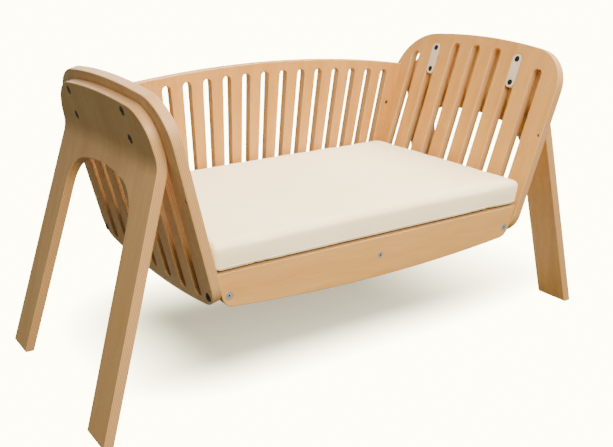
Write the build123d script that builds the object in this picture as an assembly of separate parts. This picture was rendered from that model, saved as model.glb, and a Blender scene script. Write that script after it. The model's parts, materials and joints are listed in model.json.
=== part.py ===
"""Baby crib: a slatted cradle of bent and flat plywood that hangs between two arched leg frames.

X runs along the crib, -Y is the open front, Z is up, and the origin is on the floor under the middle.
The two ends lean outwards; the left end is the mirror image of the right end.
"""

from build123d import *
from math import atan, cos, degrees, hypot, radians, sin, sqrt, tan
import os

# Driving dimensions, in mm
PLY = 21.0  # thickness of every structural board
LEAN = 15.0  # how far each end leans outwards, in degrees
END_FOOT = 392.0  # x of an end panel's inner face at the height of the lower corner bolts
END_LEVEL = 249.0  # that height
RUNNING_GAP = 0.3  # between pieces that slide on each other
EDGE_ROUND = 2.0  # softened board edges

END_HALF_WIDTH = 254.0
END_TOP, END_TOP_RADIUS = 410.0, 1410.0
END_BOTTOM, END_BOTTOM_RADIUS = -42.0, 1222.0
END_FRONT_CORNER, END_REAR_CORNER, END_BOTTOM_CORNER = 88.0, 126.0, 50.0
END_SLOT_PITCH, END_SLOT_WIDTH = 63.5, 24.0
END_SLOT_TOPS = (387.5, 386.0, 380.0, 353.0)  # middle slot first, then outwards
END_SLOT_BOTTOMS = (-17.0, -17.0, -17.0, -11.0)

RAIL_FRONT, RAIL_BACK = -247.5, -226.5  # y of the front rail's two faces
PANEL_FRONT, PANEL_BACK = 232.5, 253.5  # and of the rear panel's
BOTTOM_LOW, BOTTOM_RADIUS = 204.0, 3950.0  # the curved bottom edge of rail and rear panel
BOTTOM_CORNER = 28.0
RAIL_TOP, RAIL_TOP_ROUND = 294.0, 0.8
REAR_TOP, REAR_TOP_RADIUS = 591.0, 3100.0
REAR_SLOTS, REAR_SLOT_WIDTH = 16, 22.5
REAR_SLOT_TOP, REAR_SLOT_BOTTOM = 569.0, 250.0
REAR_PITCH_TOP, REAR_PITCH_SLOPE = 55.25, 0.0219  # the slots fan out upwards

FOOT_X = 656.0  # outer edge of a foot
LEG_BEND = 280.0  # along the end panel's slope, where the leg board bends away
BEND_RADIUS = 60.0
FOOT_HALF_SPREAD, BEND_HALF_WIDTH = 260.4, 219.0
LEG_TOP, LEG_TOP_RADIUS = 391.0, 1410.0
LEG_FRONT_CORNER, LEG_REAR_CORNER = 70.0, 110.0
ARCH_FOOT_HALF, ARCH_HALF, ARCH_SIDE_LENGTH = 181.4, 151.0, 420.0
ARCH_TOP, ARCH_SHOULDER_DROP, ARCH_CORNER = 489.0, 26.0, 72.0

CLAMP_UPPER, CLAMP_LOWER = 368.0, 314.0  # the two bolts of a clamp, along the slope
CLAMP_SLOT = 2  # the clamps sit in the second slots from the middle
HEAD_RADIUS, HEAD_HEIGHT, SHANK_RADIUS = 9.0, 5.0, 3.0
SLEEVE_RADIUS, SLEEVE_HEAD_RADIUS = 4.5, 6.5
FIT = 0.1  # between a shank and its hole
HEX_SIZE, HEX_DEPTH = 2.3, 3.0
HEAD_SINK = 0.3  # heads sit this far under the faces

FRONT_BOLT_Y, REAR_BOLT_Y = -231.5, 237.5
LOWER_BOLT_Z, UPPER_BOLT_Z = 246.0, 452.5
NUT_SETBACK = 15.5  # from the end panel's inner face to a barrel nut's axis
NUT_RADIUS, NUT_FLANGE_RADIUS, NUT_FLANGE = 5.0, 9.0, 1.6
NUT_REACH, NUT_SINK = 18.5, 2.5  # how deep a nut goes, and how far a plain one is sunk
SPARE_HOLE_RADIUS, SPARE_HOLE_Y, SPARE_HOLE_ALONG = 3.5, -246.0, 210.5  # square to the board
CUP_RADIUS, CUP_HEIGHT = 7.0, 2.0  # of the bearer screws' washers

SLAT_TOP, SLAT_THICKNESS, SLATS, SLAT_WIDTH = 298.5, 8.0, 11, 50.0
SLAT_HALF_RUN = 366.0
BEARER_HEIGHT, CLEAT_SIZE = 55.0, 20.0
CLEAT_END = 372.0
RAIL_SCREW_Z = 253.0

MATTRESS_HALF_LENGTH, MATTRESS_FRONT, MATTRESS_REAR = 404.0, -247.5, 230.0
MATTRESS_BOTTOM, MATTRESS_TOP, MATTRESS_CORNER = 298.8, 352.0, 10.0

# Directions and planes of the right-hand end
lean = radians(LEAN)
OUT = Vector(cos(lean), 0, -sin(lean))
SLOPE = Vector(sin(lean), 0, cos(lean))
end_plane = Plane(origin=(END_FOOT, 0, END_LEVEL), x_dir=(0, 1, 0), z_dir=OUT)
LEG_INNER = PLY + RUNNING_GAP  # the leg board's inner and outer faces, out from the end panel's
LEG_OUTER = LEG_INNER + PLY
BED_MIDDLE = (RAIL_BACK + PANEL_FRONT) / 2  # y of the middle of the space between rail and panel


def on_end(y, along, out=0.0):
    """A point by its y, its distance up the slope and its distance out of the inner face."""
    return end_plane.from_local_coords(Vector(y, along, out))


def face_x(z):
    """x of the end panel's inner face at a height."""
    return END_FOOT + (z - END_LEVEL) * tan(lean)


def soften(part, size=EDGE_ROUND, keep=lambda edge: True):
    """Rounds every edge of a board that keep accepts, both faces at once."""
    return fillet(part.edges().filter_by(keep), size)


def sagged(x, radius):
    """How far a shallow arc of a radius has dropped at a distance from its middle."""
    return radius - sqrt(radius * radius - x * x)


def profile(points, top=None, bottom=None):
    """A closed face from its corners, clockwise from bottom left.

    The top and bottom edges may be arcs through a point.
    """
    low_left, high_left, high_right, low_right = points
    edges = [
        Line(low_left, high_left),
        ThreePointArc(high_left, top, high_right) if top else Line(high_left, high_right),
        Line(high_right, low_right),
        ThreePointArc(low_right, bottom, low_left) if bottom else Line(low_right, low_left),
    ]
    return make_face(Wire(edges))


def round_corner(face, corner, radius):
    """Rounds the corner of a flat face that is nearest to a point."""
    point = Vector(*corner)
    vertex = min(face.vertices(), key=lambda v: (Vector(v) - point).length)
    return fillet(vertex, radius)


def end_outline():
    side = END_HALF_WIDTH
    high = END_TOP - sagged(side, END_TOP_RADIUS)
    low = END_BOTTOM + sagged(side, END_BOTTOM_RADIUS)
    corners = [(-side, low), (-side, high), (side, high), (side, low)]
    face = profile(corners, top=(0, END_TOP), bottom=(0, END_BOTTOM))
    face = round_corner(face, (-side, high), END_FRONT_CORNER)
    face = round_corner(face, (side, high), END_REAR_CORNER)
    face = round_corner(face, (-side, low), END_BOTTOM_CORNER)
    return round_corner(face, (side, low), END_BOTTOM_CORNER)


def end_slots():
    slots = Sketch()
    for place in range(-3, 4):
        top, bottom = END_SLOT_TOPS[abs(place)], END_SLOT_BOTTOMS[abs(place)]
        slot = SlotOverall(top - bottom, END_SLOT_WIDTH, rotation=90)
        slots += Pos(place * END_SLOT_PITCH, (top + bottom) / 2) * slot
    return slots


def rod(start, end, radius):
    """A round bar between two points."""
    axis = end - start
    return extrude(Plane(start, z_dir=axis) * Circle(radius), axis.length)


def hex_key(start, end):
    """The space of a hexagon socket that opens at start."""
    axis = end - start
    return extrude(Plane(start, z_dir=axis) * RegularPolygon(HEX_SIZE, 6), axis.length)


def bolt(head, tip, shank_radius=SHANK_RADIUS, head_radius=HEAD_RADIUS):
    """A socket-head bolt from the outside of its head to the end of its shank."""
    axis = (tip - head).normalized()
    seat = head + axis * HEAD_HEIGHT
    cap = rod(head, seat, head_radius)
    cap = chamfer(cap.edges().filter_by(GeomType.CIRCLE), 0.5)
    made = cap + rod(seat, tip, shank_radius)
    return made - hex_key(head, head + axis * HEX_DEPTH)


def corner_bolt_line(y, z):
    """Where a level corner bolt's head, seat, nut and tip lie, from the outside inwards."""
    inner = face_x(z)
    outer = inner + PLY / cos(lean)
    head = Vector(outer, y, z)
    seat = head - Vector(HEAD_HEIGHT, 0, 0)
    nut = Vector(inner - NUT_SETBACK, y, z)
    return head, seat, nut, nut - Vector(NUT_RADIUS + 3, 0, 0)


CORNER_BOLTS = (
    (FRONT_BOLT_Y, LOWER_BOLT_Z),
    (REAR_BOLT_Y, LOWER_BOLT_Z),
    (REAR_BOLT_Y, UPPER_BOLT_Z),
)


def end_panel():
    panel = extrude(end_plane * end_outline(), PLY)
    panel -= extrude(end_plane * end_slots(), PLY)
    panel = soften(panel, keep=lambda e: abs(along_out(e) - PLY / 2) > PLY / 2 - 0.01)
    for y, z in CORNER_BOLTS:
        head, seat, nut, tip = corner_bolt_line(y, z)
        panel -= rod(seat, head + Vector(20, 0, 0), HEAD_RADIUS + 0.4)
        panel -= rod(tip, head, SHANK_RADIUS + FIT)
    spare = on_end(SPARE_HOLE_Y, SPARE_HOLE_ALONG, -5)
    return panel - rod(spare, spare + OUT * (PLY + 10), SPARE_HOLE_RADIUS)


def along_out(edge):
    """An edge's middle, measured out of the end panel's inner face."""
    return end_plane.to_local_coords(edge.center()).Z


def long_board(top, top_radius=None):
    """Front rail or rear panel, standing between the ends, as a face in X and Z."""
    low = BOTTOM_LOW + sagged(END_FOOT - 8, BOTTOM_RADIUS)
    high = top - (sagged(face_x(top), top_radius) if top_radius else 0)
    low_x, high_x = face_x(low), face_x(high)
    corners = [(-low_x, low), (-high_x, high), (high_x, high), (low_x, low)]
    face = profile(corners, top=(0, top) if top_radius else None, bottom=(0, BOTTOM_LOW))
    for side in (-1, 1):
        face = round_corner(face, (side * low_x, low), BOTTOM_CORNER)
    return face


def stand(face, y_front):
    """Raises a face drawn in X and Z into a board whose front is at a y."""
    plane = Plane(origin=(0, y_front + PLY, 0), x_dir=(1, 0, 0), z_dir=(0, -1, 0))
    return extrude(plane * face, PLY)


def on_face(edge, y):
    return abs(edge.center().Y - y) < 0.01


def rear_slots():
    slots = Sketch()
    for number in range(REAR_SLOTS):
        place = number - (REAR_SLOTS - 1) / 2
        top_x = place * REAR_PITCH_TOP
        top = REAR_SLOT_TOP - sagged(top_x, REAR_TOP_RADIUS)
        bottom_x = place * (REAR_PITCH_TOP - (top - REAR_SLOT_BOTTOM) * REAR_PITCH_SLOPE)
        reach = hypot(top_x - bottom_x, top - REAR_SLOT_BOTTOM)
        turn = degrees(atan((top_x - bottom_x) / (top - REAR_SLOT_BOTTOM)))
        slot = SlotOverall(reach, REAR_SLOT_WIDTH, rotation=90 - turn)
        slots += Pos((top_x + bottom_x) / 2, (top + REAR_SLOT_BOTTOM) / 2) * slot
    return slots


def bored(board, front_y, bolts):
    """Bores a rail or rear panel, from its front face, for its corner bolts and barrel nuts."""
    for y, z in bolts:
        head, seat, nut, tip = corner_bolt_line(y, z)
        flange = NUT_FLANGE if front_y < 0 else 0
        for hand in (-1, 1):
            mouth = Vector(hand * nut.X, front_y, z)
            start, end = Vector(hand * tip.X, y, z), Vector(hand * head.X, y, z)
            board -= rod(start, end, SHANK_RADIUS + FIT)
            board -= rod(mouth + Vector(0, NUT_REACH, 0), mouth, NUT_RADIUS)
            if flange:
                board -= rod(mouth + Vector(0, flange, 0), mouth - Vector(0, 1, 0), NUT_FLANGE_RADIUS)
    return board


def barrel_nut(x, z):
    """A plain barrel nut, slotted for a screwdriver, sunk in the rear panel's front face."""
    mouth = Vector(x, PANEL_FRONT + NUT_SINK, z)
    nut = rod(mouth, Vector(x, PANEL_FRONT + NUT_REACH, z), NUT_RADIUS)
    nut -= Pos(mouth.X, mouth.Y, mouth.Z) * Box(2 * NUT_RADIUS + 2, 2.4, 1.4)
    return crossed_by_bolt(nut, Vector(x, REAR_BOLT_Y, z))


def flanged_nut(x, z):
    """A flanged barrel nut whose hexagon socket shows on the front rail."""
    neck = Vector(x, RAIL_FRONT + NUT_FLANGE, z)
    nut = rod(neck, Vector(x, RAIL_FRONT + NUT_REACH, z), NUT_RADIUS)
    flange = rod(neck, Vector(x, RAIL_FRONT, z), NUT_FLANGE_RADIUS)
    rims = flange.edges().filter_by(GeomType.CIRCLE).sort_by(Axis.Y)
    nut += fillet(rims[0], 0.7)
    nut -= hex_key(Vector(x, RAIL_FRONT, z), Vector(x, RAIL_FRONT + HEX_DEPTH, z))
    return crossed_by_bolt(nut, Vector(x, FRONT_BOLT_Y, z))


def crossed_by_bolt(nut, place):
    """A barrel nut with the level cross hole that takes a corner bolt."""
    reach = Vector(20, 0, 0)
    return nut - rod(place - reach, place + reach, SHANK_RADIUS + FIT)


def leg_profile():
    """The bent leg board seen from the front, in X and Z, long enough to be trimmed at its top."""
    bend = on_end(0, LEG_BEND, LEG_OUTER)
    foot = Vector(FOOT_X, 0, 0)
    down = (foot - bend).normalized()
    in_low = Vector(down.Z, 0, -down.X)  # inwards, square to the splayed part
    in_high = OUT * -1
    inner_bend = bend + (in_low + in_high) * (PLY / (1 + in_low.dot(in_high)))
    top = on_end(0, LEG_TOP + 20, LEG_OUTER)
    inner_foot = foot + Vector(PLY / in_low.X, 0, 0)
    corners = [foot, bend, top, top + in_high * PLY, inner_bend, inner_foot]
    face = make_face(Wire(Polyline(*[(p.X, p.Z) for p in corners], close=True).edges()))
    face = round_corner(face, (bend.X, bend.Z), BEND_RADIUS)
    return round_corner(face, (inner_bend.X, inner_bend.Z), BEND_RADIUS + PLY)


def splay_plane():
    """The outer face of the splayed lower part: x along Y, y up the leg from the floor."""
    bend = on_end(0, LEG_BEND, LEG_OUTER)
    up = Vector(bend.X - FOOT_X, 0, bend.Z).normalized()
    return Plane(origin=(FOOT_X, 0, 0), x_dir=(0, 1, 0), z_dir=(up.Z, 0, -up.X))


def arch():
    """The tall round-topped opening between the two legs."""
    low, high = -40.0, ARCH_TOP - ARCH_SHOULDER_DROP
    narrowing = (ARCH_FOOT_HALF - ARCH_HALF) / ARCH_SIDE_LENGTH
    low_half, high_half = ARCH_FOOT_HALF - low * narrowing, ARCH_FOOT_HALF - high * narrowing
    corners = [(-low_half, low), (-high_half, high), (high_half, high), (low_half, low)]
    face = profile(corners, top=(0, ARCH_TOP))
    for side in (-1, 1):
        face = round_corner(face, (side * high_half, high), ARCH_CORNER)
    return face


def leg_frame():
    depth = 2 * FOOT_HALF_SPREAD + 20
    side_view = Plane(origin=(0, depth / 2, 0), x_dir=(1, 0, 0), z_dir=(0, -1, 0))
    board = extrude(side_view * leg_profile(), depth)
    bend_z = on_end(0, LEG_BEND, LEG_OUTER).Z
    narrowing = (FOOT_HALF_SPREAD - BEND_HALF_WIDTH) / bend_z
    high = 700.0
    half_high = FOOT_HALF_SPREAD - narrowing * high
    sides = Polyline(
        (-FOOT_HALF_SPREAD - narrowing * 10, -10),
        (-half_high, high),
        (half_high, high),
        (FOOT_HALF_SPREAD + narrowing * 10, -10),
        close=True,
    )
    from_end = Plane(origin=(300, 0, 0), x_dir=(0, 1, 0), z_dir=(1, 0, 0))
    board &= extrude(from_end * make_face(Wire(sides.edges())), 500)
    disc = Pos(0, LEG_TOP - LEG_TOP_RADIUS) * Circle(LEG_TOP_RADIUS)
    board &= extrude(end_plane * disc, 500, both=True)
    for y_sign, radius in ((-1, LEG_FRONT_CORNER), (1, LEG_REAR_CORNER)):
        board = fillet(top_corner_edge(board, y_sign), radius)
    board -= extrude(splay_plane() * arch(), 60, both=True)
    board = soften(board, keep=lambda e: e.length > 30 or e.geom_type == GeomType.CIRCLE)
    for y in clamp_ys():
        for along in (CLAMP_LOWER, CLAMP_UPPER):
            inside, outside = on_end(y, along, LEG_INNER - 1), on_end(y, along, LEG_OUTER + 5)
            board -= rod(inside, outside, SLEEVE_RADIUS + FIT)
            seat = on_end(y, along, LEG_OUTER - HEAD_SINK - HEAD_HEIGHT)
            board -= rod(seat, outside, HEAD_RADIUS + 0.4)
    return board


def top_corner_edge(board, y_sign):
    """The short edge through the board's thickness at a top corner."""
    across = board.edges().filter_by(lambda e: abs(e.length - PLY) < 0.5)
    return max(across, key=lambda e: e.center().Z + y_sign * e.center().Y)


def clamp_ys():
    return (-CLAMP_SLOT * END_SLOT_PITCH, CLAMP_SLOT * END_SLOT_PITCH)


def clamp_block(y):
    """A pill-shaped slider that fills the top of a slot and bears the cradle's weight."""
    width = END_SLOT_WIDTH - 2 * RUNNING_GAP
    reach = CLAMP_UPPER - CLAMP_LOWER + width
    middle = (CLAMP_UPPER + CLAMP_LOWER) / 2
    pill = Pos(y, middle) * SlotOverall(reach, width, rotation=90)
    block = extrude(end_plane * pill, LEG_INNER)
    block = fillet(block.edges().filter_by(lambda e: along_out(e) < 0.01), 1.0)
    for along in (CLAMP_LOWER, CLAMP_UPPER):
        inside, seat = on_end(y, along, -5), on_end(y, along, HEAD_SINK + HEAD_HEIGHT)
        block -= rod(inside, on_end(y, along, LEG_INNER), SLEEVE_RADIUS + FIT)
        block -= rod(inside, seat, SLEEVE_HEAD_RADIUS + 0.4)
    return block


def clamp_fasteners():
    """The clamp bolts, from outside, and the sleeve nuts that they screw into, from inside."""
    bolts, nuts = [], []
    for y in clamp_ys():
        for along in (CLAMP_LOWER, CLAMP_UPPER):
            bolts.append(bolt(on_end(y, along, LEG_OUTER - HEAD_SINK), on_end(y, along, 14)))
            sleeve_end = on_end(y, along, LEG_OUTER - HEAD_SINK - HEAD_HEIGHT - 1)
            nut = bolt(on_end(y, along, HEAD_SINK), sleeve_end, SLEEVE_RADIUS, SLEEVE_HEAD_RADIUS)
            nuts.append(nut - rod(on_end(y, along, 10), on_end(y, along, LEG_OUTER), SHANK_RADIUS + FIT))
    return bolts, nuts


def corner_fasteners():
    """The three level corner bolts of the right-hand end."""
    bolts = []
    for y, z in CORNER_BOLTS:
        head, seat, nut, tip = corner_bolt_line(y, z)
        bolts.append(bolt(head, tip))
    return bolts


def slat(number):
    """One thin slat across the crib, on the two cleats."""
    pitch = 2 * SLAT_HALF_RUN / (SLATS - 1)
    middle = (number - (SLATS - 1) / 2) * pitch
    size = (SLAT_WIDTH, PANEL_FRONT - RAIL_BACK - 3, SLAT_THICKNESS)
    board = Pos(middle, BED_MIDDLE, SLAT_TOP - SLAT_THICKNESS / 2) * Box(*size)
    return soften(board, 1.5, keep=lambda e: e.length > SLAT_THICKNESS + 1)


def cleat(x_sign, y_sign):
    """A strip on the inside of the rail or rear panel that carries half of the slats' ends."""
    inside = RAIL_BACK if y_sign < 0 else PANEL_FRONT
    start = PLY / 2
    size = (CLEAT_END - start, CLEAT_SIZE, CLEAT_SIZE)
    middle = x_sign * (start + CLEAT_END) / 2
    z = SLAT_TOP - SLAT_THICKNESS - CLEAT_SIZE / 2
    strip = Pos(middle, inside - y_sign * CLEAT_SIZE / 2, z) * Box(*size)
    return soften(strip, 1.0, keep=lambda e: e.length > CLEAT_SIZE + 1)


def centre_bearer():
    """The cross bearer under the slats, held by a screw through the rail and one through the rear panel."""
    size = (PLY, PANEL_FRONT - RAIL_BACK, BEARER_HEIGHT)
    z = SLAT_TOP - SLAT_THICKNESS - BEARER_HEIGHT / 2
    bearer = Pos(0, BED_MIDDLE, z) * Box(*size)
    bearer = soften(bearer, 1.5, keep=lambda e: e.length > BEARER_HEIGHT + 1)
    for y_sign in (-1, 1):
        tip, head = rail_screw_line(y_sign)
        bearer -= rod(tip, head, 2.5)
    return bearer


def rail_screw_line(y_sign):
    """The tip and head of the screw that holds one end of the centre bearer."""
    outside = RAIL_FRONT if y_sign < 0 else PANEL_BACK
    head = Vector(0, outside - y_sign * 0.2, RAIL_SCREW_Z)
    return head - Vector(0, y_sign * (PLY + 35), 0), head


def cup_washer(y_sign):
    tip, head = rail_screw_line(y_sign)
    seat = head - Vector(0, y_sign * CUP_HEIGHT, 0)
    cup = rod(seat, head, CUP_RADIUS)
    hole = extrude(Plane(seat, z_dir=head - seat) * Circle(2.5), CUP_HEIGHT, taper=-52)
    return cup - hole


def rail_screw(y_sign):
    """A countersunk screw whose head sits in its cup washer."""
    tip, head = rail_screw_line(y_sign)
    seat = head - Vector(0, y_sign * CUP_HEIGHT, 0)
    cone = extrude(Plane(seat, z_dir=head - seat) * Circle(2.4), CUP_HEIGHT, taper=-52)
    screw = cone + rod(tip, seat, 2.4)
    return screw - hex_key(head, head - Vector(0, y_sign * 1.6, 0))


def counterbored_for_screw(board, y_sign):
    tip, head = rail_screw_line(y_sign)
    seat = head - Vector(0, y_sign * CUP_HEIGHT, 0)
    board -= rod(seat, head + Vector(0, y_sign * 3, 0), CUP_RADIUS)
    return board - rod(tip, head, 2.5)


def front_rail():
    rail = stand(long_board(RAIL_TOP), RAIL_FRONT)
    faces = (RAIL_FRONT, RAIL_BACK)
    sides = [e for e in rail.edges() if any(on_face(e, y) for y in faces) and not at_end(e)]
    rail = fillet([e for e in sides if e.center().Z < RAIL_TOP - 1], EDGE_ROUND)
    rail = fillet(rail.faces().sort_by(Axis.Z)[-1].edges().filter_by(Axis.X), RAIL_TOP_ROUND)
    rail = bored(rail, RAIL_FRONT, CORNER_BOLTS[:1])
    return counterbored_for_screw(rail, -1)


def at_end(edge):
    """True for an edge that lies on an end panel's inner face."""
    middle = edge.center()
    return abs(abs(middle.X) - face_x(middle.Z)) < 0.5 and edge.geom_type == GeomType.LINE


def rear_panel():
    board = stand(long_board(REAR_TOP, REAR_TOP_RADIUS), PANEL_FRONT)
    board -= stand(rear_slots(), PANEL_FRONT)
    faces = (PANEL_FRONT, PANEL_BACK)
    board = soften(board, keep=lambda e: any(on_face(e, y) for y in faces) and not at_end(e))
    board = bored(board, PANEL_FRONT, CORNER_BOLTS[1:])
    return counterbored_for_screw(board, 1)


def mattress():
    """The mattress, as one block: it lies on the slats and reaches over the front rail."""
    width, depth = MATTRESS_REAR - MATTRESS_FRONT, MATTRESS_TOP - MATTRESS_BOTTOM
    middle = Pos(0, MATTRESS_FRONT + width / 2, MATTRESS_BOTTOM + depth / 2)
    block = middle * Box(2 * MATTRESS_HALF_LENGTH, width, depth)
    block = fillet(block.edges().filter_by(Axis.Z), MATTRESS_CORNER)
    return fillet(block.faces().sort_by(Axis.Z)[-1].edges(), 8)


def save(node, *solids):
    shape = solids[0] if len(solids) == 1 else Compound(children=[s.solid() or s for s in solids])
    export_step(shape, f"parts/{node}.step")


def mirrored(shape):
    return mirror(shape, about=Plane.YZ)


def main():
    os.makedirs("parts", exist_ok=True)
    panel, legs = end_panel(), leg_frame()
    save("right_end_panel", panel)
    save("left_end_panel", mirrored(panel))
    save("right_leg_frame", legs)
    save("left_leg_frame", mirrored(legs))
    for place, y in zip(("front", "rear"), clamp_ys()):
        block = clamp_block(y)
        save(f"right_{place}_clamp_block", block)
        save(f"left_{place}_clamp_block", mirrored(block))
    clamp_bolts, sleeve_nuts = clamp_fasteners()
    groups = {
        "clamp_bolts": clamp_bolts,
        "clamp_sleeve_nuts": sleeve_nuts,
        "corner_bolts": corner_fasteners(),
    }
    for name, group in groups.items():
        save(f"right_{name}", *group)
        save(f"left_{name}", *[mirrored(s) for s in group])
    save("front_rail", front_rail())
    save("rear_panel", rear_panel())
    low_x, high_x = face_x(LOWER_BOLT_Z) - NUT_SETBACK, face_x(UPPER_BOLT_Z) - NUT_SETBACK
    rail_nut = flanged_nut(low_x, LOWER_BOLT_Z)
    panel_nuts = [barrel_nut(low_x, LOWER_BOLT_Z), barrel_nut(high_x, UPPER_BOLT_Z)]
    save("rail_barrel_nuts", rail_nut, mirrored(rail_nut))
    save("rear_barrel_nuts", *panel_nuts, *[mirrored(nut) for nut in panel_nuts])
    for number in range(SLATS):
        save(f"slat_{number + 1}", slat(number))
    for y_name, y_sign in (("front", -1), ("rear", 1)):
        for x_name, x_sign in (("left", -1), ("right", 1)):
            save(f"{y_name}_{x_name}_cleat", cleat(x_sign, y_sign))
    save("centre_bearer", centre_bearer())
    save("bearer_screws", rail_screw(-1), rail_screw(1))
    save("cup_washers", cup_washer(-1), cup_washer(1))
    save("mattress", mattress())


main()
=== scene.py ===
import json
from math import cos, pi, radians, sin

import bmesh
import bpy
import numpy as np
from mathutils import Matrix, Vector
from mathutils.bvhtree import BVHTree

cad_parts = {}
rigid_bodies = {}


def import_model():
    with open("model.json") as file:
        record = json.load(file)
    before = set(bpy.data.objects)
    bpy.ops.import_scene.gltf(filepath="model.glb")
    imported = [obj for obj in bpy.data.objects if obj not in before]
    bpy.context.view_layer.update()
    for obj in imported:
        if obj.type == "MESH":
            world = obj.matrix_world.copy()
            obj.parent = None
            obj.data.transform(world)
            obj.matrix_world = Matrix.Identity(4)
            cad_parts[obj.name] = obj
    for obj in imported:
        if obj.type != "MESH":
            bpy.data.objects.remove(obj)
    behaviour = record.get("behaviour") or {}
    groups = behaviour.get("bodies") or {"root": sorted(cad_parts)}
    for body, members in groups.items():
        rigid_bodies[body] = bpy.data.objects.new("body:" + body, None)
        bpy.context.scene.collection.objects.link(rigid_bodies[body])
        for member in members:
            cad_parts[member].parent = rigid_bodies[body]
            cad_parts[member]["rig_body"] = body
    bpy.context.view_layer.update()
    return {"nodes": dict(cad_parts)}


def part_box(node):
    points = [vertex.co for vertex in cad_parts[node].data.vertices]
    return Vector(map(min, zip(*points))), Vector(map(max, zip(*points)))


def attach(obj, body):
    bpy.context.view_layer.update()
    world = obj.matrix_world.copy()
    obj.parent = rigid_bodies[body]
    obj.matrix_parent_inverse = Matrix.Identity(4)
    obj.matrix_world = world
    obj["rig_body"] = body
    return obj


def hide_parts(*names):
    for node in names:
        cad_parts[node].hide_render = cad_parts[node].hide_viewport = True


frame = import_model()
nodes = frame["nodes"]

MM = 0.001
X, Y, Z = Vector((1, 0, 0)), Vector((0, 1, 0)), Vector((0, 0, 1))

# The boards' places, in mm, as the CAD has them.
LEAN = radians(15)  # of the end panels, outwards
PLY = 21.0
END_X, END_LEVEL = 392.0, 249.0  # a point of an end panel's inner face
LEG_OUTER = 42.3  # from that face to the outer face of a leg frame
LEG_BEND, BEND_RADIUS, FOOT_X = 280.0, 60.0, 656.0
RAIL_FRONT, PANEL_FRONT, SLAT_BOTTOM = -247.5, 232.5, 290.5


# ---------------------------------------------------------------- shader helpers
class Graph:
    """A material's node tree, with short ways to add and wire nodes."""

    def __init__(self, name):
        self.material = bpy.data.materials.new(name)
        self.material.use_nodes = True
        self.tree = self.material.node_tree
        self.tree.nodes.clear()

    def add(self, kind, values=None, **settings):
        node = self.tree.nodes.new(kind)
        for key, value in settings.items():
            setattr(node, key, value)
        for key, value in (values or {}).items():
            if isinstance(value, bpy.types.NodeSocket):
                self.tree.links.new(value, node.inputs[key])
            else:
                node.inputs[key].default_value = value
        return node

    def math(self, operation, a, b=0.0):
        return self.add("ShaderNodeMath", {0: a, 1: b}, operation=operation).outputs[0]

    def vector(self, operation, a, b=(0, 0, 0), **more):
        node = self.add("ShaderNodeVectorMath", {0: a, 1: b, **more}, operation=operation)
        return node.outputs[0]

    def length(self, vector):
        return self.add("ShaderNodeVectorMath", {0: vector}, operation="LENGTH").outputs["Value"]

    def dot(self, vector, direction):
        node = self.add("ShaderNodeVectorMath", {0: vector, 1: tuple(direction)}, operation="DOT_PRODUCT")
        return node.outputs["Value"]

    def combine(self, x, y, z):
        return self.add("ShaderNodeCombineXYZ", {0: x, 1: y, 2: z}).outputs[0]

    def noise(self, vector, scale, detail=2.0, rough=0.5):
        values = {"Vector": vector, "Scale": scale, "Detail": detail, "Roughness": rough}
        return self.add("ShaderNodeTexNoise", values).outputs["Fac"]

    def fit(self, value, low, high, to_low=0.0, to_high=1.0):
        values = {0: value, 1: low, 2: high, 3: to_low, 4: to_high}
        return self.add("ShaderNodeMapRange", values, clamp=True).outputs[0]

    def mix(self, factor, a, b, blend="MIX"):
        node = self.add("ShaderNodeMix", data_type="RGBA", blend_type=blend)
        for key, value in ((0, factor), (6, a), (7, b)):
            if isinstance(value, bpy.types.NodeSocket):
                self.tree.links.new(value, node.inputs[key])
            else:
                node.inputs[key].default_value = value
        return node.outputs[2]

    def place(self):
        return self.add("ShaderNodeTexCoord").outputs["Object"]

    def bump(self, height, strength, distance):
        values = {"Height": height, "Strength": strength, "Distance": distance}
        return self.add("ShaderNodeBump", values).outputs["Normal"]

    def finish(self, values):
        shader = self.add("ShaderNodeBsdfPrincipled", values)
        output = self.add("ShaderNodeOutputMaterial")
        self.tree.links.new(shader.outputs[0], output.inputs[0])
        return self.material


def rgb(red, green, blue):
    """A colour given as it looks on a screen, 0-255, as linear light."""
    channels = [c / 255 for c in (red, green, blue)]
    return tuple(c / 12.92 if c < 0.04045 else ((c + 0.055) / 1.055) ** 2.4 for c in channels) + (1.0,)


FACE_LIGHT, FACE_DARK = rgb(209, 160, 88), rgb(188, 135, 67)
EDGE_LONG, EDGE_END, GLUE = rgb(206, 163, 104), rgb(174, 130, 80), rgb(132, 94, 58)


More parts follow.
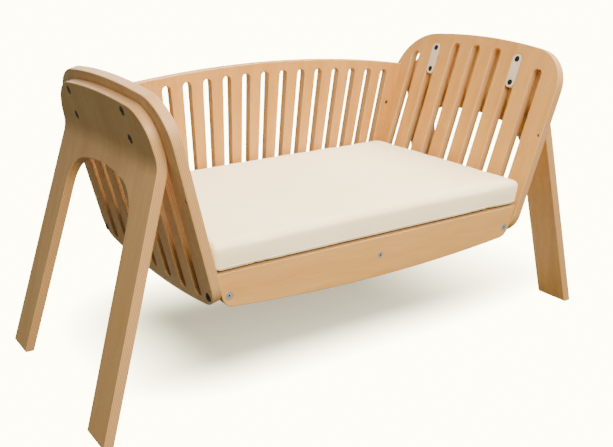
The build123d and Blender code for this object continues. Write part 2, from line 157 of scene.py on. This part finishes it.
# ---------------------------------------------------------------- wood
def wood(name, along, across, depth, seed, thickness=PLY, plies=13, light=FACE_LIGHT, dark=FACE_DARK):
    """Lacquered beech. depth(graph, point) is how far a point lies into the board, in mm; its plies
    show wherever a cut edge crosses them. plies=0 is solid wood."""
    g = Graph(name)
    p = g.place()
    u = g.math("ADD", g.dot(p, along), seed * 1.37)
    v = g.math("ADD", g.dot(p, across), seed * 0.53)
    w = depth(g, p)
    w_m = g.math("MULTIPLY", w, MM)
    wander = g.noise(g.combine(g.math("MULTIPLY", u, 1.6), v, seed), 5.0, 2.0)
    v_bent = g.math("ADD", v, g.math("MULTIPLY", wander, 0.035))
    stretched = g.combine(g.math("MULTIPLY", u, 0.07), v_bent, g.math("MULTIPLY", w_m, 0.8))
    bands = g.noise(stretched, 26.0, 3.0, 0.6)
    streaks = g.noise(g.combine(g.math("MULTIPLY", u, 0.035), v_bent, w_m), 420.0, 3.0, 0.62)
    flecks = g.noise(g.combine(g.math("MULTIPLY", u, 0.22), v, w_m), 950.0, 1.0, 0.5)
    fleck = g.fit(flecks, 0.60, 0.72)
    pores = g.noise(g.combine(g.math("MULTIPLY", u, 0.09), v, w_m), 2600.0, 1.0, 0.5)
    pore = g.fit(pores, 0.58, 0.74)
    figure = g.math("ADD", g.math("MULTIPLY", bands, 0.62), g.math("MULTIPLY", streaks, 0.38))
    face = g.mix(g.fit(figure, 0.34, 0.66), dark, light)
    face = g.mix(g.math("MULTIPLY", fleck, 0.30), face, rgb(168, 122, 84))
    face = g.mix(g.math("MULTIPLY", pore, 0.22), face, rgb(140, 98, 66))
    blotch = g.noise(p, 3.1, 2.0)
    face = g.mix(g.fit(blotch, 0.35, 0.75, 0.0, 0.16), face, rgb(206, 158, 118))
    height = g.math("SUBTRACT", g.math("MULTIPLY", streaks, 0.5), g.math("MULTIPLY", pore, 0.7))
    rough = g.fit(g.noise(p, 34.0, 3.0), 0.3, 0.7, 0.37, 0.52)
    if plies:
        ply = thickness / plies
        layer = g.math("DIVIDE", w, ply)
        odd = g.math("MODULO", g.math("FLOOR", layer), 2.0)
        glue = g.fit(g.math("ABSOLUTE", g.math("SUBTRACT", g.math("FRACT", layer), 0.5)), 0.43, 0.5)
        before_back = g.fit(w, thickness - 0.7, thickness - 0.2, 1.0, 0.0)
        inside = g.math("MULTIPLY", g.fit(w, 0.2, 0.7), before_back)
        grainy = g.noise(g.combine(u, v, w_m), 1500.0, 2.0, 0.6)
        end = g.mix(g.fit(grainy, 0.35, 0.7), rgb(158, 114, 70), EDGE_END)
        long = g.mix(streaks, rgb(192, 146, 90), EDGE_LONG)
        cut = g.mix(odd, long, end)
        cut = g.mix(g.math("MULTIPLY", glue, 0.75), cut, GLUE)
        face = g.mix(inside, face, cut)
        relief = g.math("MULTIPLY", g.math("MULTIPLY", inside, g.math("ADD", odd, glue)), 0.5)
        height = g.math("SUBTRACT", height, relief)
        rough = g.math("ADD", rough, g.math("MULTIPLY", inside, 0.08))
    normal = g.bump(height, 0.25, 0.00025)
    return g.finish({
        "Base Color": face, "Roughness": rough, "Normal": normal,
        "Coat Weight": 0.08, "Coat Roughness": 0.35,
    })


def flat_depth(direction, start):
    """Depth into a flat board along a direction, from the face at start, in mm."""
    return lambda g, p: g.math("SUBTRACT", g.math("MULTIPLY", g.dot(p, direction), 1000.0), start)


def leg_depth(side):
    """Depth into the bent leg board from its outer face: the upper flat, the bend and the splay."""
    out = Vector((side * cos(LEAN), 0, -sin(LEAN)))
    slope = Vector((side * sin(LEAN), 0, cos(LEAN)))
    corner = Vector((side * END_X, 0, END_LEVEL)) + out * LEG_OUTER + slope * LEG_BEND
    foot = Vector((side * FOOT_X, 0, 0))
    down = (foot - corner).normalized()
    square = Vector((-down.z * side, 0, down.x * side))
    half = slope.angle(down) / 2
    centre = corner + (slope + down).normalized() * (BEND_RADIUS / sin(half))

    def depth(g, p):
        mm = g.vector("SCALE", p, Scale=1000.0)
        from_centre = g.vector("SUBTRACT", mm, tuple(centre))
        level = g.vector("MULTIPLY", from_centre, (1, 0, 1))
        in_bend = g.math("SUBTRACT", g.length(level), BEND_RADIUS)
        upper = g.math("SUBTRACT", corner.dot(out), g.dot(mm, out))
        lower = g.math("SUBTRACT", corner.dot(square), g.dot(mm, square))
        above = g.math("GREATER_THAN", g.dot(from_centre, slope), 0.0)
        below = g.math("GREATER_THAN", g.dot(from_centre, down), 0.0)
        between = g.math("SUBTRACT", g.math("SUBTRACT", 1.0, above), below)
        straight = g.math("ADD", g.math("MULTIPLY", upper, above), g.math("MULTIPLY", lower, below))
        return g.math("ADD", g.math("MULTIPLY", in_bend, between), straight)

    return depth


def paint(node, material):
    """Puts one material on every slot of a CAD node."""
    mesh = nodes[node].data
    if not mesh.materials:
        mesh.materials.append(material)
    for place in range(len(mesh.materials)):
        mesh.materials[place] = material


# The veneer's tone differs a little from board to board, as its light and dark grain. The rear panel and
# the right end panel are made darker, painted shade for how the light falls on them, and the left end panel
# and its legs are paler.
PALE = (rgb(214, 175, 118), rgb(194, 151, 96))
SANDY = (rgb(209, 163, 100), rgb(188, 138, 80))
GOLDEN = (rgb(202, 151, 78), rgb(181, 127, 58))
AMBER = (rgb(188, 136, 64), rgb(168, 114, 48))
# painted shade: the right end panel's GOLDEN tones are darker than its legs' so that it looks less lit
TONES = {"left": (PALE, SANDY), "right": (GOLDEN, (FACE_LIGHT, FACE_DARK))}
for side, name, seed in ((-1, "left", 1.0), (1, "right", 4.0)):
    (end_light, end_dark), (leg_light, leg_dark) = TONES[name]
    out = Vector((side * cos(LEAN), 0, -sin(LEAN)))
    slope = Vector((side * sin(LEAN), 0, cos(LEAN)))
    face = Vector((side * END_X, 0, END_LEVEL)).dot(out)
    end = wood(f"beech_{name}_end", slope, Y, flat_depth(out, face), seed, light=end_light, dark=end_dark)
    paint(f"{name}_end_panel", end)
    legs = wood(f"beech_{name}_legs", slope, Y, leg_depth(side), seed + 1.5, light=leg_light, dark=leg_dark)
    paint(f"{name}_leg_frame", legs)
paint("front_rail", wood("beech_front_rail", X, Z, flat_depth(Y, RAIL_FRONT), 7.0))
# painted shade: the rear panel's AMBER tones are darker than the rail's so that it looks less lit
rear = wood("beech_rear_panel", Z, X, flat_depth(Y, PANEL_FRONT), 8.5, light=AMBER[0], dark=AMBER[1])
paint("rear_panel", rear)

SLAT_LIGHT, SLAT_DARK = rgb(226, 196, 156), rgb(206, 170, 126)
for number in range(1, 12):
    slat = wood(
        f"birch_slat_{number}", Y, X, flat_depth(Z, SLAT_BOTTOM), 10.0 + number,
        thickness=8.0, plies=5, light=SLAT_LIGHT, dark=SLAT_DARK,
    )
    paint(f"slat_{number}", slat)
no_plies = flat_depth(Z, 0.0)
cleats = ("front_left_cleat", "front_right_cleat", "rear_left_cleat", "rear_right_cleat")
for number, name in enumerate(cleats):
    paint(name, wood(f"beech_{name}", X, Y, no_plies, 30.0 + number, plies=0))
paint("centre_bearer", wood("beech_centre_bearer", Y, Z, no_plies, 36.0, plies=0))


# ---------------------------------------------------------------- metal and plastic
def steel(name, colour, metallic, low_rough, high_rough, dents, socket_shade=None):
    """Machined steel. The last argument, given a graph and a point, is 1 down in a socket, where painted
    shade darkens the steel.
    """
    g = Graph(name)
    p = g.place()
    fine = g.noise(p, 900.0, 3.0, 0.6)
    smudge = g.noise(p, 120.0, 2.0)
    mottle = g.math("ADD", g.math("MULTIPLY", fine, 0.5), g.math("MULTIPLY", smudge, 0.5))
    rough = g.fit(mottle, 0.35, 0.65, low_rough, high_rough)
    darker = tuple(c * 0.6 for c in colour[:3]) + (1.0,)
    shade = g.mix(g.fit(smudge, 0.3, 0.75, 0.0, 0.35), colour, darker)
    if socket_shade:
        # painted shade: down in a socket the steel is made near black, as the hollow's shade
        shade = g.mix(socket_shade(g, p), shade, (0.012, 0.011, 0.010, 1.0))
    return g.finish({
        "Base Color": shade, "Metallic": metallic, "Roughness": rough,
        "Normal": g.bump(fine, dents, 0.00005),
    })


black_steel = steel("black_oxide_steel", (0.016, 0.016, 0.018, 1.0), 0.35, 0.28, 0.44, 0.3)


def down_a_socket(g, p):
    """1 a little way behind the rail's front face or the rear panel's back face."""
    panel_back = PANEL_FRONT + PLY
    middle, half = (RAIL_FRONT + panel_back) / 2 * MM, (panel_back - RAIL_FRONT) / 2 * MM
    from_middle = g.math("ABSOLUTE", g.math("SUBTRACT", g.dot(p, Y), middle))
    return g.fit(from_middle, half - 0.0007, half - 0.0003, 1.0, 0.0)


# painted shade down the sockets of the zinc parts, where down_a_socket is 1
zinc_steel = steel("zinc_plate", (0.40, 0.395, 0.38, 1.0), 0.5, 0.3, 0.44, 0.3, down_a_socket)
for side in ("left", "right"):
    for name in ("clamp_bolts", "clamp_sleeve_nuts", "corner_bolts"):
        paint(f"{side}_{name}", black_steel)
paint("rear_barrel_nuts", black_steel)
for name in ("rail_barrel_nuts", "bearer_screws", "cup_washers"):
    paint(name, zinc_steel)


def moulded():
    """The clamp blocks' fine-grained plastic."""
    g = Graph("pale_grey_moulding")
    p = g.place()
    grain = g.noise(p, 1800.0, 2.0, 0.6)
    cloud = g.noise(p, 40.0, 2.0)
    colour = g.mix(cloud, rgb(188, 176, 158), rgb(202, 192, 174))
    rough = g.fit(cloud, 0.3, 0.7, 0.42, 0.56)
    return g.finish({"Base Color": colour, "Roughness": rough, "Normal": g.bump(grain, 0.25, 0.00008)})


plastic = moulded()
for side in ("left", "right"):
    for place in ("front", "rear"):
        paint(f"{side}_{place}_clamp_block", plastic)


# ---------------------------------------------------------------- mattress
THREAD_PITCH = 0.00075


def cotton(name, colour, shade, shade_band_top=0.0):
    """Plain-weave cotton: threads over and under each other, with slight slubs. Below the height given
    last, the cover is painted dark grey: painted shade for the gap between its bottom edge and the rail."""
    g = Graph(name)
    p = g.place()
    x, y, z = g.dot(p, X), g.dot(p, Y), g.dot(p, Z)
    turns = pi / THREAD_PITCH
    sloppy = g.math("MULTIPLY", g.noise(p, 60.0, 2.0), 0.0009)
    a = g.math("MULTIPLY", g.math("ADD", g.math("ADD", x, z), sloppy), turns)
    b = g.math("MULTIPLY", g.math("ADD", g.math("SUBTRACT", y, z), sloppy), turns)
    over = g.math("MULTIPLY", g.math("SINE", a), g.math("SINE", b))
    warp = g.math("ABSOLUTE", g.math("COSINE", a))
    weft = g.math("ABSOLUTE", g.math("COSINE", b))
    threads = g.math("ADD", g.math("MULTIPLY", warp, 0.3), g.math("MULTIPLY", weft, 0.3))
    weave = g.math("ADD", g.math("MULTIPLY", over, 0.5), threads)
    slub = g.noise(g.combine(g.math("MULTIPLY", x, 0.15), y, z), 700.0, 2.0)
    cloud = g.noise(p, 7.0, 3.0)
    base = g.mix(g.fit(cloud, 0.3, 0.7), shade, colour)
    base = g.mix(g.fit(slub, 0.55, 0.75, 0.0, 0.18), base, shade)
    base = g.mix(g.fit(weave, -0.2, 0.9, 0.12, 0.0), base, rgb(190, 176, 154))
    # painted shade: the cover's underside and lowest millimetre are dark grey
    base = g.mix(g.fit(z, shade_band_top - 0.0003, shade_band_top + 0.0003, 1.0, 0.0), base, UNDERSIDE_SHADE)
    height = g.math("ADD", weave, g.math("MULTIPLY", slub, 0.6))
    return g.finish({
        "Base Color": base, "Roughness": g.fit(cloud, 0.3, 0.7, 0.82, 0.93),
        "Sheen Weight": 0.12, "Sheen Roughness": 0.5,
        "Normal": g.bump(height, 0.3, 0.00018),
    })


low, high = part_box("mattress")
HALF_X, Y0, Y1, Z0, Z1 = high.x, low.y, high.y, low.z, high.z
RAIL_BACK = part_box("front_rail")[1].y
# painted shade: the dark grey of the gap under the mattress's bottom edge
UNDERSIDE_SHADE = rgb(44, 43, 44)
CREAM = cotton("cream_cotton_cover", rgb(253, 240, 200), rgb(249, 233, 190), Z0 + 0.0010)
WELT = cotton("cream_cotton_welt", rgb(250, 236, 198), rgb(242, 226, 186))


def cushion_block():
    """The cover before it is filled: a little smaller than the finished mattress."""
    inset, corner, top_edge, bottom_edge = 0.0015, 0.007, 0.011, 0.003
    mesh = bmesh.new()
    bmesh.ops.create_cube(mesh, size=1.0)
    centre = Vector((0, (Y0 + Y1) / 2, (Z0 + Z1) / 2))
    size = Vector((2 * HALF_X, Y1 - Y0, Z1 - Z0)) - Vector((2, 2, 2)) * inset
    for vertex in mesh.verts:
        vertex.co = centre + Vector([vertex.co[i] * size[i] for i in range(3)])
    upright = [e for e in mesh.edges if abs(e.verts[0].co.z - e.verts[1].co.z) > 0.01]
    bmesh.ops.bevel(mesh, geom=upright, offset=corner, segments=4, affect="EDGES", profile=0.5)
    for above, radius in ((True, top_edge), (False, bottom_edge)):
        rim = [e for e in mesh.edges if abs(e.verts[0].co.z - e.verts[1].co.z) < 1e-5
               and (e.verts[0].co.z > centre.z) == above and abs(e.calc_face_angle()) > 0.8]
        bmesh.ops.bevel(mesh, geom=rim, offset=radius, segments=4, affect="EDGES", profile=0.5)
    data = bpy.data.meshes.new("mattress_cover")
    mesh.to_mesh(data)
    mesh.free()
    made = bpy.data.objects.new("mattress_cover", data)
    bpy.context.scene.collection.objects.link(made)
    return made


def select_only(obj):
    bpy.context.view_layer.objects.active = obj
    for other in bpy.context.selected_objects:
        other.select_set(False)
    obj.select_set(True)


def apply_all(obj):
    """Applies every modifier of an object to its mesh."""
    select_only(obj)
    for modifier in list(obj.modifiers):
        bpy.ops.object.modifier_apply(modifier=modifier.name)


def points_of(obj):
    co = np.empty(len(obj.data.vertices) * 3)
    obj.data.vertices.foreach_get("co", co)
    return co.reshape(-1, 3)


def put_points(obj, co):
    obj.data.vertices.foreach_set("co", co.ravel())
    obj.data.update()


def inflate(obj):
    """Fills the cover with air-like pressure, then keeps only a foam block's share of the bulge."""
    before = points_of(obj).copy()
    cloth = obj.modifiers.new("cloth", "CLOTH")
    cloth.settings.quality = 5
    cloth.settings.mass = 0.3
    cloth.settings.tension_stiffness = 30
    cloth.settings.compression_stiffness = 30
    cloth.settings.shear_stiffness = 12
    cloth.settings.bending_stiffness = 4
    cloth.settings.use_pressure = True
    cloth.settings.uniform_pressure_force = 4
    cloth.settings.effector_weights.gravity = 0
    cloth.collision_settings.use_collision = False
    cloth.collision_settings.use_self_collision = False
    cloth.point_cache.frame_start = 1
    cloth.point_cache.frame_end = 20
    for number in range(1, 21):
        bpy.context.scene.frame_set(number)
    apply_all(obj)
    after = points_of(obj)
    move = after - before
    for axis, most in enumerate((0.0045, 0.0045, 0.0055)):
        move[:, axis] = most * np.tanh(move[:, axis] / most)
    put_points(obj, before + move)


def settle(obj):
    """Flat where it lies on the slats, crowned above, and drawn in between the corners."""
    co = points_of(obj)
    x, z = co[:, 0] / HALF_X, (co[:, 2] - Z0) / (Z1 - Z0)
    y = (co[:, 1] - (Y0 + Y1) / 2) / ((Y1 - Y0) / 2)
    long_pull, short_pull, crown = 0.0022, 0.0020, 0.0022
    long_bow, short_bow = np.clip(1 - x * x, 0, 1), np.clip(1 - y * y, 0, 1)
    upper = 0.35 + 0.65 * np.clip(z, 0, 1)
    at_long_side, at_end = (np.clip((np.abs(a) - 0.75) / 0.25, 0, 1) for a in (y, x))
    co[:, 1] -= np.sign(y) * long_pull * upper * long_bow * at_long_side
    co[:, 0] -= np.sign(x) * short_pull * upper * short_bow * at_end
    top = np.clip((z - 0.6) / 0.4, 0, 1)
    co[:, 2] += top * crown * (long_bow * short_bow) ** 0.6
    ripple = (np.sin(co[:, 0] * 41 + 1.3 * np.sin(co[:, 1] * 23)) * np.sin(co[:, 1] * 37 + 0.8)
              + 0.6 * np.sin(co[:, 0] * 97 + 2.1) * np.sin(co[:, 1] * 71 + 1.7 * np.sin(co[:, 0] * 19)))
    co[:, 2] += top * 0.00035 * ripple
    rim = np.clip((np.maximum(np.abs(x), np.abs(y)) - 0.9) / 0.1, 0, 1)
    pucker = (np.sin(co[:, 0] * 260 + 3 * np.sin(co[:, 1] * 31))
              + np.sin(co[:, 1] * 240 + 2 * np.sin(co[:, 0] * 27)))
    co[:, 2] -= top * rim * 0.00018 * pucker
    co[:, 2] = np.clip(co[:, 2], Z0, Z1 + 0.006)
    bottom = z < 0.08
    co[bottom, 2] = Z0 + (co[bottom, 2] - Z0) * 0.3
    put_points(obj, co)


def fit_to_block(obj):
    """Brings the finished cover out to the block's sides. Its front hangs a little over the rail, and
    its ends lean out with the end panels."""
    lean_out, hang, hang_width, hang_height = 0.016, 0.0020, 0.012, 0.020
    co = points_of(obj)
    for axis, (start, end) in enumerate(((-HALF_X, HALF_X), (Y0, Y1))):
        least, most = co[:, axis].min(), co[:, axis].max()
        co[:, axis] = start + (co[:, axis] - least) * (end - start) / (most - least)
    co[:, 2] += Z0 - co[:, 2].min()
    co[:, 0] *= 1 + lean_out * np.clip((co[:, 2] - Z0) / (Z1 - Z0), 0, 1)
    over_rail = np.clip((RAIL_BACK - 0.002 - co[:, 1]) / hang_width, 0, 1)
    low_down = np.clip(1 - (co[:, 2] - Z0) / hang_height, 0, 1)
    co[:, 2] -= hang * over_rail * low_down
    put_points(obj, co)


cover = cushion_block()
remesh = cover.modifiers.new("even", "REMESH")
remesh.mode = "VOXEL"
remesh.voxel_size = 0.005
apply_all(cover)
inflate(cover)
settle(cover)
smoothing = cover.modifiers.new("even", "SMOOTH")
smoothing.factor, smoothing.iterations = 0.5, 2
finer = cover.modifiers.new("fine", "SUBSURF")
finer.levels = finer.render_levels = 1
apply_all(cover)
fit_to_block(cover)
for polygon in cover.data.polygons:
    polygon.use_smooth = True
cover.data.materials.clear()
cover.data.materials.append(CREAM)


def welt(name, height, radius):
    """A sewn welt round the mattress, laid on the finished cover at a height."""
    corners = [Vector(c) for c in points_of(cover)]
    tree = BVHTree.FromPolygons(corners, [tuple(p.vertices) for p in cover.data.polygons])
    middle = Vector((0, (Y0 + Y1) / 2, height))
    ring = []
    count = 720
    half_width = (Y1 - Y0) / 2
    for number in range(count):
        angle = 2 * np.pi * number / count
        direction = Vector((cos(angle) * HALF_X, sin(angle) * half_width, 0)).normalized()
        hit = tree.ray_cast(middle + direction * 1.5, -direction)[0]
        if hit is not None:
            ring.append(hit)
    curve = bpy.data.curves.new(name, "CURVE")
    curve.dimensions = "3D"
    line = curve.splines.new("POLY")
    line.points.add(len(ring) - 1)
    for point, place in zip(line.points, ring):
        point.co = (*place, 1.0)
    line.use_cyclic_u = True
    curve.bevel_depth = radius
    curve.bevel_resolution = 2
    made = bpy.data.objects.new(name, curve)
    bpy.context.scene.collection.objects.link(made)
    select_only(made)
    bpy.ops.object.convert(target="MESH")
    made = bpy.context.view_layer.objects.active
    made.name = name
    for polygon in made.data.polygons:
        polygon.use_smooth = True
    made.data.materials.clear()
    made.data.materials.append(WELT)
    return made


sewn = welt("mattress_welt", Z0 + 0.007, 0.0009)
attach(cover, "mattress")
sewn.parent = cover
sewn.matrix_parent_inverse = cover.matrix_world.inverted()
sewn["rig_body"] = "mattress"
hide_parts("mattress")


# ---------------------------------------------------------------- studio
FAR_WHITE, FAR_STRENGTH = (1.0, 0.925, 0.60, 1.0), 14.5  # how the far floor and backdrop look
WARM = (1.0, 0.885, 0.72)  # the lamps' colour
# The floor's shade is painted: a dark patch of its own colour under the crib.
DEEPEST = 0.045  # the share of white left where the floor's shade is deepest
FLOOR_LIGHT = 0.25  # what the far floor gives off to the object


def floor():
    """A pale floor with a painted soft shadow under the crib, over the real shadows its diffuse share still
    takes, that fades to white around it.
    """
    g = Graph("studio_floor")
    p = g.place()
    bpy.ops.mesh.primitive_plane_add(size=60, location=(0, 0, 0))
    made = bpy.context.active_object
    made.name = "studio_floor"
    diffuse = g.add("ShaderNodeBsdfDiffuse", {"Color": (0.42, 0.405, 0.37, 1.0), "Roughness": 0.6})
    seen = g.add("ShaderNodeLightPath").outputs["Is Camera Ray"]
    strength = g.fit(seen, 0.0, 1.0, FLOOR_LIGHT, FAR_STRENGTH)
    white = g.add("ShaderNodeEmission", {"Color": FAR_WHITE, "Strength": strength})
    x, y = g.dot(p, X), g.dot(p, Y)
    minus_x, minus_y = g.dot(p, -X), g.dot(p, -Y)
    # Each way, the painted shadow starts to fade at the first distance and is gone at the second.
    aside = g.math("MAXIMUM", g.fit(x, 0.28, 0.85), g.fit(minus_x, 0.26, 0.57))
    along = g.math("MAXIMUM", g.fit(y, 0.15, 0.45), g.fit(minus_y, 0.05, 0.215))
    away = g.math("SQRT", g.math("ADD", g.math("POWER", aside, 2.0), g.math("POWER", along, 2.0)))
    near = g.math("MINIMUM", away, 1.0)
    fade = g.fit(g.math("POWER", near, 2.0), 0.0, 1.0, DEEPEST, 1.0)
    blend = g.add("ShaderNodeMixShader", {0: fade})
    g.tree.links.new(diffuse.outputs[0], blend.inputs[1])
    g.tree.links.new(white.outputs[0], blend.inputs[2])
    output = g.add("ShaderNodeOutputMaterial")
    g.tree.links.new(blend.outputs[0], output.inputs[0])
    made.data.materials.append(g.material)


def area_light(name, place, aim, size, power):
    data = bpy.data.lights.new(name, "AREA")
    data.shape = "RECTANGLE"
    data.size, data.size_y = size
    data.energy = power
    data.color = WARM
    made = bpy.data.objects.new(name, data)
    bpy.context.scene.collection.objects.link(made)
    made.location = place
    made.rotation_euler = (Vector(aim) - Vector(place)).to_track_quat("-Z", "Y").to_euler()


floor()
area_light("overhead", (1.15, -0.1, 2.4), (0, 0, 0.3), (1.6, 1.8), 218.0)
area_light("front", (-0.6, -2.35, 2.15), (0, 0, 0.35), (1.5, 1.3), 212.0)
area_light("behind", (0.3, 2.6, 1.9), (0, 0, 0.3), (1.6, 1.2), 45.0)
world = bpy.data.worlds.new("studio")
world.use_nodes = True
tree = world.node_tree
sky = tree.nodes["Background"]
sky.inputs[0].default_value = (0.55, 0.80, 1.0, 1.0)
sky.inputs[1].default_value = 0.44
backdrop = tree.nodes.new("ShaderNodeBackground")
backdrop.inputs[0].default_value = FAR_WHITE
backdrop.inputs[1].default_value = FAR_STRENGTH
blend = tree.nodes.new("ShaderNodeMixShader")
tree.links.new(tree.nodes.new("ShaderNodeLightPath").outputs["Is Camera Ray"], blend.inputs[0])
tree.links.new(sky.outputs[0], blend.inputs[1])
tree.links.new(backdrop.outputs[0], blend.inputs[2])
tree.links.new(blend.outputs[0], tree.nodes["World Output"].inputs[0])
bpy.context.scene.world = world

# ---------------------------------------------------------------- camera
CAMERA = Vector((-1.1156, -1.4142, 0.8763))
YAW, PITCH, ROLL = radians(28.918), radians(22.603), radians(-0.769)
FOCAL, CENTRE = 797.7, (185.0, 269.2)
WIDTH, HEIGHT = 613.0, 447.0

forward = Vector((sin(YAW) * cos(PITCH), cos(YAW) * cos(PITCH), -sin(PITCH)))
right0 = Vector((cos(YAW), -sin(YAW), 0))
up0 = right0.cross(forward)
right = right0 * cos(ROLL) + up0 * sin(ROLL)
up = up0 * cos(ROLL) - right0 * sin(ROLL)
lens = bpy.data.cameras.new("camera")
lens.sensor_fit = "HORIZONTAL"
lens.sensor_width = 36.0
lens.lens = 36.0 * FOCAL / WIDTH
lens.shift_x = (WIDTH / 2 - CENTRE[0]) / WIDTH
lens.shift_y = (CENTRE[1] - HEIGHT / 2) / WIDTH
lens.clip_start = 0.05
camera = bpy.data.objects.new("camera", lens)
bpy.context.scene.collection.objects.link(camera)
turn = Matrix((right, up, -forward)).transposed().to_4x4()
camera.matrix_world = Matrix.Translation(CAMERA) @ turn
bpy.context.scene.camera = camera
